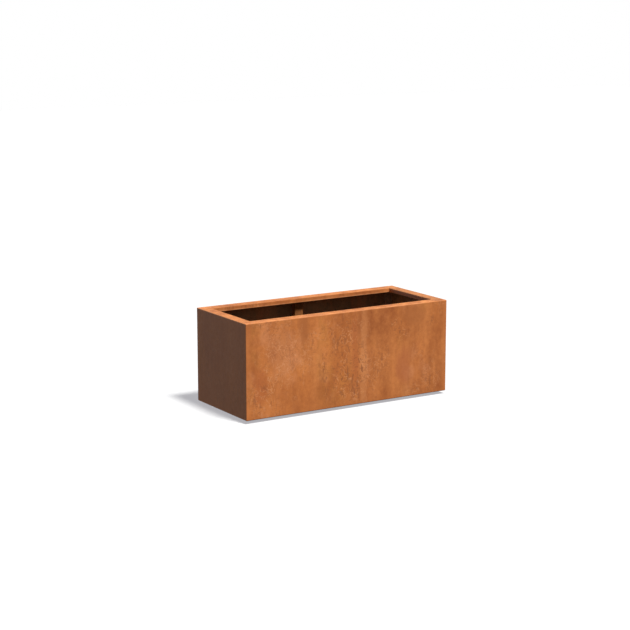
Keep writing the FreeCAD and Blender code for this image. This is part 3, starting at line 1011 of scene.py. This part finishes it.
def add_turned(shells, centre, levels):
    """Add a turned solid, from levels of height and of radius at each angle."""
    rings = []
    for height, radius in levels:
        ring = []
        for step in range(TURN_SEGMENTS):
            angle = 2 * math.pi * step / TURN_SEGMENTS
            reach = radius(angle) if callable(radius) else radius
            place = (centre.x + reach * math.cos(angle), centre.y + reach * math.sin(angle), height)
            ring.append(Vector(place))
        rings.append(ring)
    add_shell(shells, rings)


def hexagon(flats, limit):
    """Give the radius of a hexagon at each angle, its corners cut off at a limit."""
    sector = 2 * math.pi / HEX_SIDES

    def radius(angle):
        off_middle = (angle + sector / 2) % sector - sector / 2
        return min(flats / 2 / math.cos(off_middle), limit)
    return radius


def thread(height, root, crest):
    """Give the radius of a right-hand thread at each angle, at one height."""
    def radius(angle):
        phase = (height / THREAD_PITCH - angle / (2 * math.pi)) % 1.0
        ridge = (1 - abs(2 * phase - 1) - THREAD_CREST) / THREAD_FLANK
        return root + (crest - root) * min(max(ridge, 0.0), 1.0)
    return radius


def thread_levels(start, end):
    """Give the levels of a thread that runs out over a turn at each end."""
    steps = round((end - start) / THREAD_PITCH * THREAD_RINGS)
    for step in range(steps + 1):
        height = start + (end - start) * step / steps
        fade = min(1.0, (height - start) / THREAD_PITCH, (end - height) / THREAD_PITCH)
        crest = THREAD_ROOT + THREAD_DEPTH * max(fade, 0.0)
        yield height, thread(height, THREAD_ROOT, crest)


def make_studs(zinc):
    """Stand a threaded stud, with its collar and drive hexagon, in place of each plain one."""
    for corner in CORNERS:
        low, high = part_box(corner + "_foot_stud")
        drive_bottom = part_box(corner + "_foot_pad")[1].z + DRIVE_GAP
        drive_top = drive_bottom + DRIVE_HEIGHT
        collar_top = low.z + COLLAR_HEIGHT
        flats = high.x - low.x
        shoulder = hexagon(flats, flats / 2 + DRIVE_SHOULDER)
        full = hexagon(flats, flats)
        levels = [
            (low.z, COLLAR_RADIUS - COLLAR_FOOT_CHAMFER),
            (low.z + COLLAR_FOOT_CHAMFER, COLLAR_RADIUS),
            (collar_top - COLLAR_TOP_CHAMFER, COLLAR_RADIUS),
            (collar_top, COLLAR_RADIUS - COLLAR_TOP_CHAMFER),
            (collar_top, STUD_CORE),
            (drive_bottom, STUD_CORE),
            (drive_bottom, shoulder),
            (drive_bottom + DRIVE_CHAMFER, full),
            (drive_top - DRIVE_CHAMFER, full),
            (drive_top, shoulder),
            (drive_top, STUD_CORE),
            *thread_levels(drive_top + THREAD_GAP, high.z - TIP_CHAMFER),
            (high.z, TIP_RADIUS),
        ]
        shells = ([], [])
        add_turned(shells, (low + high) / 2, levels)
        name = corner + "_threaded_stud"
        stud = make_piece(name, shells, zinc, corner + "_stud", STUD_SHARP)
        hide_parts(corner + "_foot_stud")


def make_soles(rubber):
    """Give each foot a sole with round tread grooves, in place of the plain disc."""
    for corner in CORNERS:
        low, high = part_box(corner + "_foot_sole")
        edge = (high.x - low.x) / 2
        groove_top = low.z + GROOVE_DEPTH
        levels = [(low.z, SOLE_MIDDLE)]
        for groove in GROOVES:
            levels += [(low.z, groove - GROOVE_MOUTH), (groove_top, groove - GROOVE_BOTTOM)]
            levels += [(groove_top, groove + GROOVE_BOTTOM), (low.z, groove + GROOVE_MOUTH)]
        levels += [
            (low.z, edge - SOLE_ROUND),
            (low.z + SOLE_ROUND_MIDDLE, edge - SOLE_ROUND_MIDDLE),
            (low.z + SOLE_ROUND, edge),
            (high.z - SOLE_ROUND, edge),
            (high.z - SOLE_ROUND_MIDDLE, edge - SOLE_ROUND_MIDDLE),
            (high.z, edge - SOLE_ROUND),
        ]
        shells = ([], [])
        add_turned(shells, (low + high) / 2, levels)
        sole = make_piece(corner + "_tread", shells, rubber, corner + "_foot")
        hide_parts(corner + "_foot_sole")


def pad_rib_outline(bottom, top):
    """Give a pad rib's outline across its length, with its top edges taken off."""
    shoulder = top - PAD_RIB_BEVEL
    crest = PAD_RIB_CREST * PAD_RIB_HALF
    return (
        (-PAD_RIB_HALF, bottom), (PAD_RIB_HALF, bottom), (PAD_RIB_HALF, shoulder),
        (crest, top), (-crest, top), (-PAD_RIB_HALF, shoulder),
    )


def make_pad_ribs(polyamide):
    """Stiffen each pad with moulded ribs from its hub to its edge."""
    for corner in CORNERS:
        low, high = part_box(corner + "_foot_pad")
        centre = (low + high) / 2
        shells = ([], [])
        for step in range(PAD_RIBS):
            angle = 2 * math.pi * (step + 0.5) / PAD_RIBS
            outwards = Vector((math.cos(angle), math.sin(angle), 0))
            across = Vector((-outwards.y, outwards.x, 0))
            rings = []
            for reach, bottom, top in PAD_RIB_STATIONS:
                foot = Vector((centre.x, centre.y, 0)) + outwards * reach
                outline = pad_rib_outline(bottom, top)
                rings.append([foot + across * side + UP * height for side, height in outline])
            add_shell(shells, rings)
        make_piece(corner + "_pad_ribs", shells, polyamide, corner + "_foot")


def finish_pieces():
    """Give every CAD node the material of its record slot, and add the detail pieces."""
    steel = bright_steel("plain_steel", STEEL, STEEL_ROUGHNESS, STEEL_RUST)
    zinc = bright_steel("zinc_plated_steel", ZINC, ZINC_ROUGHNESS, ZINC_BLOOM)
    polyamide = moulded("black_polyamide", POLYAMIDE, POLYAMIDE_DUST, POLYAMIDE_ROUGHNESS)
    rubber = moulded("black_rubber", RUBBER, RUBBER_DUST, RUBBER_ROUGHNESS)
    materials = {
        "weathered_panel": weathered_panel(),
        "weathered_inner": weathered_inner(),
        "plain_steel": steel,
        "zinc_plated_steel": zinc,
        "black_polyamide": polyamide,
        "black_rubber": rubber,
    }
    slots = {part["node"]: part["material_slot"] for part in frame["record"]["subparts"]}
    for node, piece in frame["nodes"].items():
        piece.data.materials.clear()
        piece.data.materials.append(materials[slots[node]])
    weld = rusted_weld()
    make_floor_welds(weld)
    make_rib_welds(weld)
    make_return_welds(weld)
    make_bearer_welds(weld)
    make_foot_welds(weld)
    make_studs(zinc)
    make_soles(rubber)
    make_pad_ribs(polyamide)


bpy.context.scene.view_settings.view_transform = "Standard"
make_camera()
make_world()
make_lights()
make_floor()
finish_pieces()
